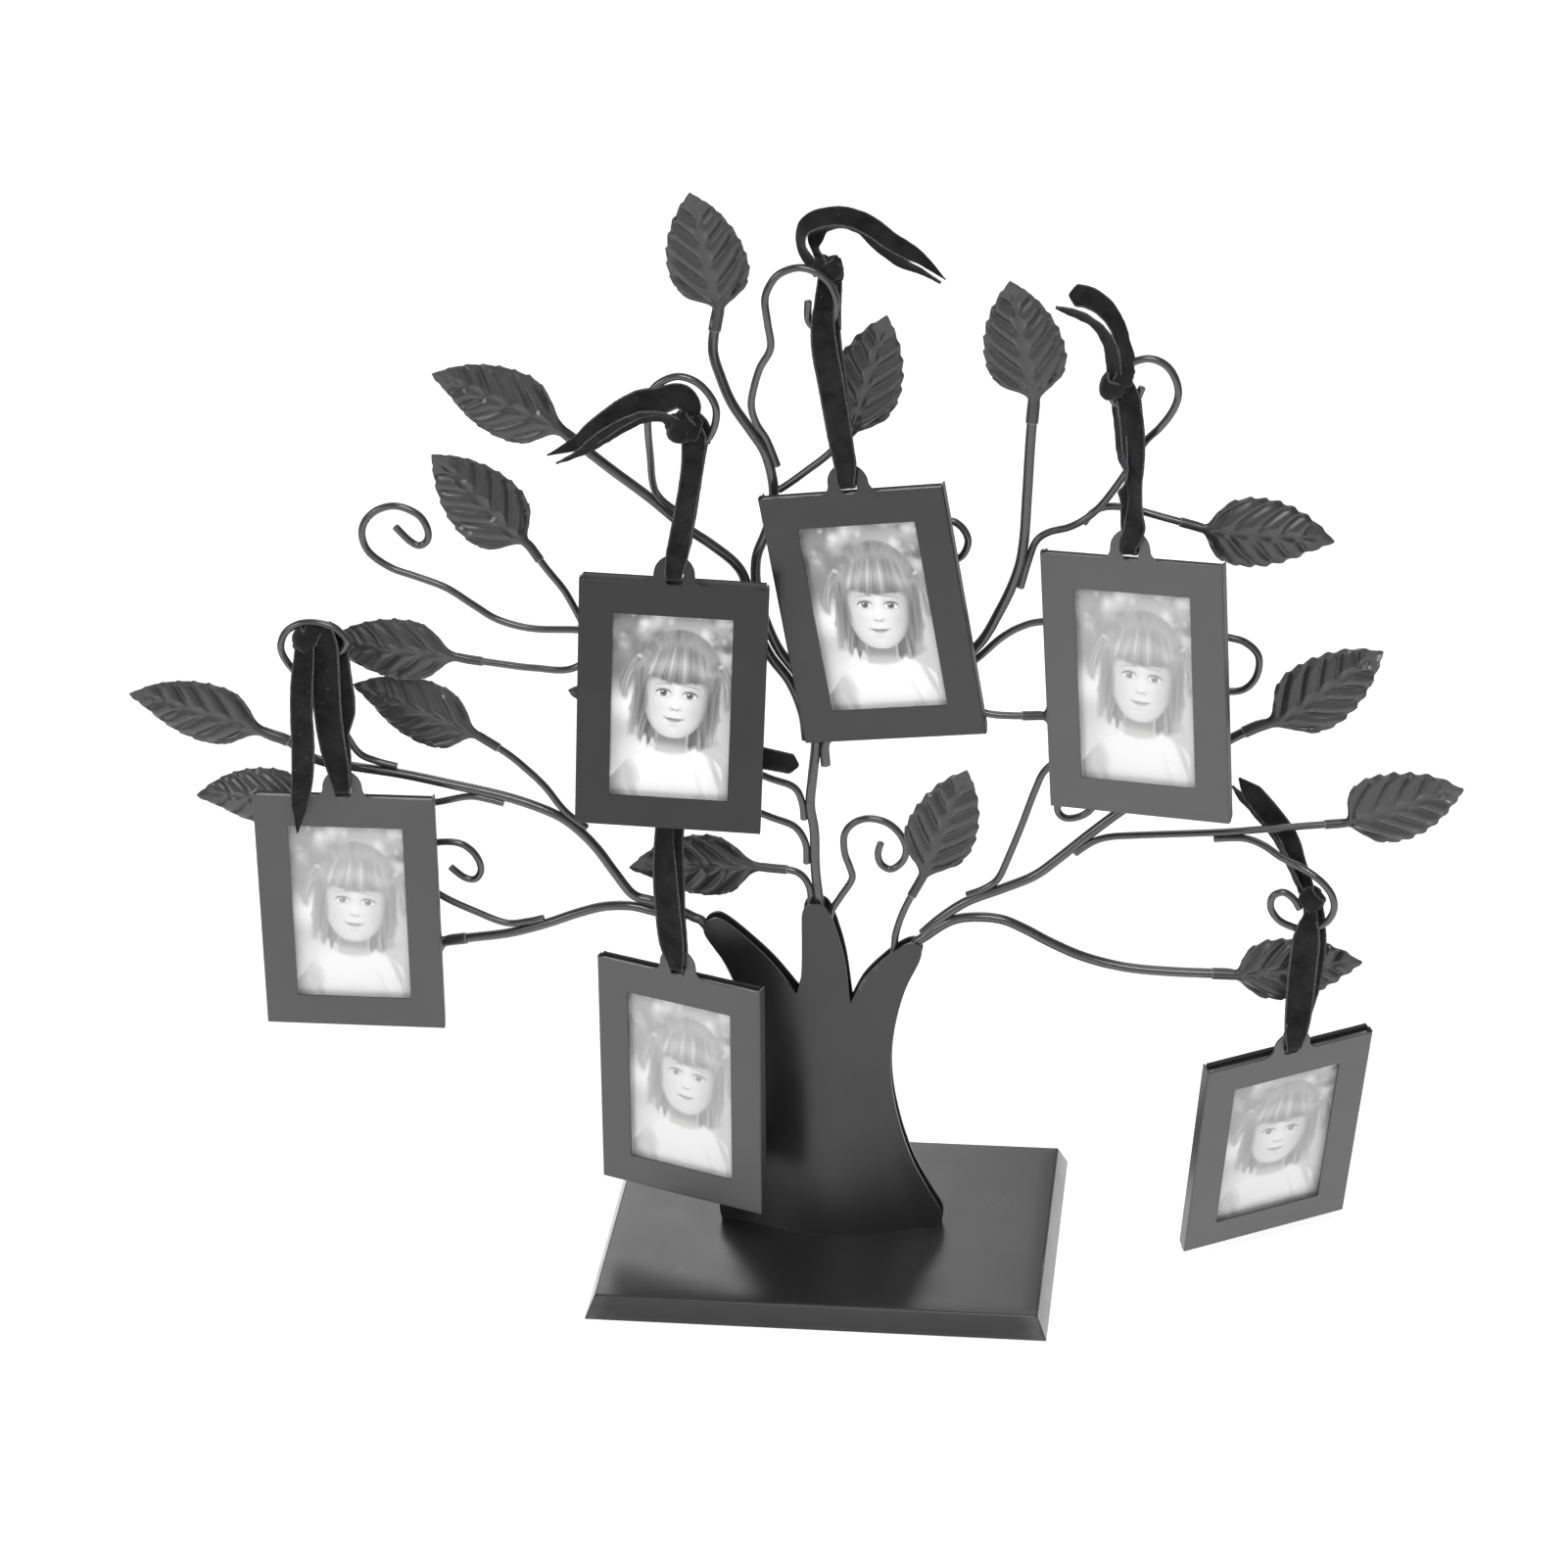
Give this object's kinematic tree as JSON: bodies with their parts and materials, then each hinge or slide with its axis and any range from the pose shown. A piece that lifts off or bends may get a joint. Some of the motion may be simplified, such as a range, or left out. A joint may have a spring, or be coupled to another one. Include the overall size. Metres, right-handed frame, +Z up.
{
  "type": "photo tree stand",
  "caption": "Bent-wire metal tree on a low rectangular base, with embossed leaves, scrolls and small picture frames hung from its hooks by velvet ribbons.",
  "frame": {"origin": "centre of the base's underside, on the table", "axes": "+X to the viewer's right, +Y away from the viewer, +Z up"},
  "size_m": [0.3964, 0.1, 0.3513],
  "materials": {
    "metal": "satin black powder coat with a fine grain",
    "leaf_metal": "satin black paint rubbed thin on the raised veins and edges",
    "velvet": "black velvet ribbon with woven edges",
    "felt": "thin black felt",
    "clear": "thin clear sheet",
    "photo": "glossy black and white print on card"
  },
  "bodies": {
    "stand": {"base_pan": "metal", "base_underpad": "felt", "trunk_front_shell": "metal", "trunk_back_shell": "metal", "branch_center": "metal", "branch_upper_left": "metal", "branch_upper_right": "metal", "branch_left": "metal", "branch_left_low": "metal", "branch_right": "metal", "branch_right_low": "metal", "hook_1": "metal", "hook_2": "metal", "hook_3": "metal", "hook_4": "metal", "hook_5": "metal", "hook_6": "metal", "scrolls_left": "metal", "scrolls_right": "metal", "stems_left": "metal", "stems_right": "metal", "leaves_top": "leaf_metal", "leaves_left_high": "leaf_metal", "leaves_left_low": "leaf_metal", "leaves_right": "leaf_metal", "bows_left": "velvet", "bows_right": "velvet"},
    "hanger_1": {"ribbon_eye_1": "velvet"},
    "frame_1": {"ribbon_loop_1": "velvet", "frame_shell_1": "metal"},
    "insert_1": {"clear_cover_1": "clear", "photo_card_1": "photo"},
    "hanger_2": {"ribbon_eye_2": "velvet"},
    "frame_2": {"ribbon_loop_2": "velvet", "frame_shell_2": "metal"},
    "insert_2": {"clear_cover_2": "clear", "photo_card_2": "photo"},
    "hanger_3": {"ribbon_eye_3": "velvet"},
    "frame_3": {"ribbon_loop_3": "velvet", "frame_shell_3": "metal"},
    "insert_3": {"clear_cover_3": "clear", "photo_card_3": "photo"},
    "hanger_4": {"ribbon_eye_4": "velvet"},
    "frame_4": {"ribbon_loop_4": "velvet", "frame_shell_4": "metal"},
    "insert_4": {"clear_cover_4": "clear", "photo_card_4": "photo"},
    "hanger_5": {"ribbon_eye_5": "velvet"},
    "frame_5": {"ribbon_loop_5": "velvet", "frame_shell_5": "metal"},
    "insert_5": {"clear_cover_5": "clear", "photo_card_5": "photo"},
    "hanger_6": {"ribbon_eye_6": "velvet"},
    "frame_6": {"ribbon_loop_6": "velvet", "frame_shell_6": "metal"},
    "insert_6": {"clear_cover_6": "clear", "photo_card_6": "photo"}
  },
  "joints": [
    {"name": "swing_1", "type": "hinge", "parent": "stand", "child": "hanger_1", "pos_m": [-0.142, -0.013, 0.208], "axis": [-1, 0, 0], "range_deg": [-2, 25]},
    {"name": "twist_1", "type": "hinge", "parent": "hanger_1", "child": "frame_1", "pos_m": [-0.142, -0.013, 0.208], "axis": [0, 0.0219, 0.9998], "range_deg": [-10, 8]},
    {"name": "lift_1", "type": "slide", "parent": "frame_1", "child": "insert_1", "axis": [0.0162, 0.0355, 0.9992], "range_m": [0, 0.02]},
    {"name": "swing_2", "type": "hinge", "parent": "stand", "child": "hanger_2", "pos_m": [-0.03, -0.015, 0.2795], "axis": [-1, 0, 0], "range_deg": [-1, 25]},
    {"name": "twist_2", "type": "hinge", "parent": "hanger_2", "child": "frame_2", "pos_m": [-0.03, -0.015, 0.2795], "axis": [0.1925, 0.0229, 0.981], "range_deg": [-15, 3]},
    {"name": "lift_2", "type": "slide", "parent": "frame_2", "child": "insert_2", "axis": [0.0582, 0.0554, 0.9968], "range_m": [0, 0.02]},
    {"name": "swing_3", "type": "hinge", "parent": "stand", "child": "hanger_3", "pos_m": [0.005, -0.012, 0.313], "axis": [-1, 0, 0], "range_deg": [-0.6, 25]},
    {"name": "twist_3", "type": "hinge", "parent": "hanger_3", "child": "frame_3", "pos_m": [0.005, -0.012, 0.313], "axis": [-0.1408, -0.0204, 0.9898], "range_deg": [-1.5, 8]},
    {"name": "lift_3", "type": "slide", "parent": "frame_3", "child": "insert_3", "axis": [-0.154, 0.029, 0.9877], "range_m": [0, 0.015]},
    {"name": "swing_4", "type": "hinge", "parent": "stand", "child": "hanger_4", "pos_m": [0.09, -0.012, 0.292], "axis": [-1, 0, 0], "range_deg": [-0.6, 25]},
    {"name": "twist_4", "type": "hinge", "parent": "hanger_4", "child": "frame_4", "pos_m": [0.09, -0.012, 0.292], "axis": [-0.044, 0, 0.999], "range_deg": [-1, 15]},
    {"name": "lift_4", "type": "slide", "parent": "frame_4", "child": "insert_4", "axis": [-0.0471, 0.1143, 0.9923], "range_m": [0, 0.015]},
    {"name": "swing_5", "type": "hinge", "parent": "stand", "child": "hanger_5", "pos_m": [-0.0425, -0.009, 0.166], "axis": [-1, 0, 0], "range_deg": [-4, 12]},
    {"name": "twist_5", "type": "hinge", "parent": "hanger_5", "child": "frame_5", "pos_m": [-0.0425, -0.009, 0.166], "axis": [0.0082, 0.0904, 0.9959], "range_deg": [-20, 15]},
    {"name": "lift_5", "type": "slide", "parent": "frame_5", "child": "insert_5", "axis": [0.0194, 0.0303, 0.9994], "range_m": [0, 0.01]},
    {"name": "swing_6", "type": "hinge", "parent": "stand", "child": "hanger_6", "pos_m": [0.144, -0.011, 0.125], "axis": [-1, 0, 0], "range_deg": [-4, 25]},
    {"name": "twist_6", "type": "hinge", "parent": "hanger_6", "child": "frame_6", "pos_m": [0.144, -0.011, 0.125], "axis": [0.0485, 0, 0.9988], "range_deg": [-20, 20]},
    {"name": "lift_6", "type": "slide", "parent": "frame_6", "child": "insert_6", "axis": [0.0864, -0.2183, 0.972], "range_m": [0, 0.008]}
  ]
}
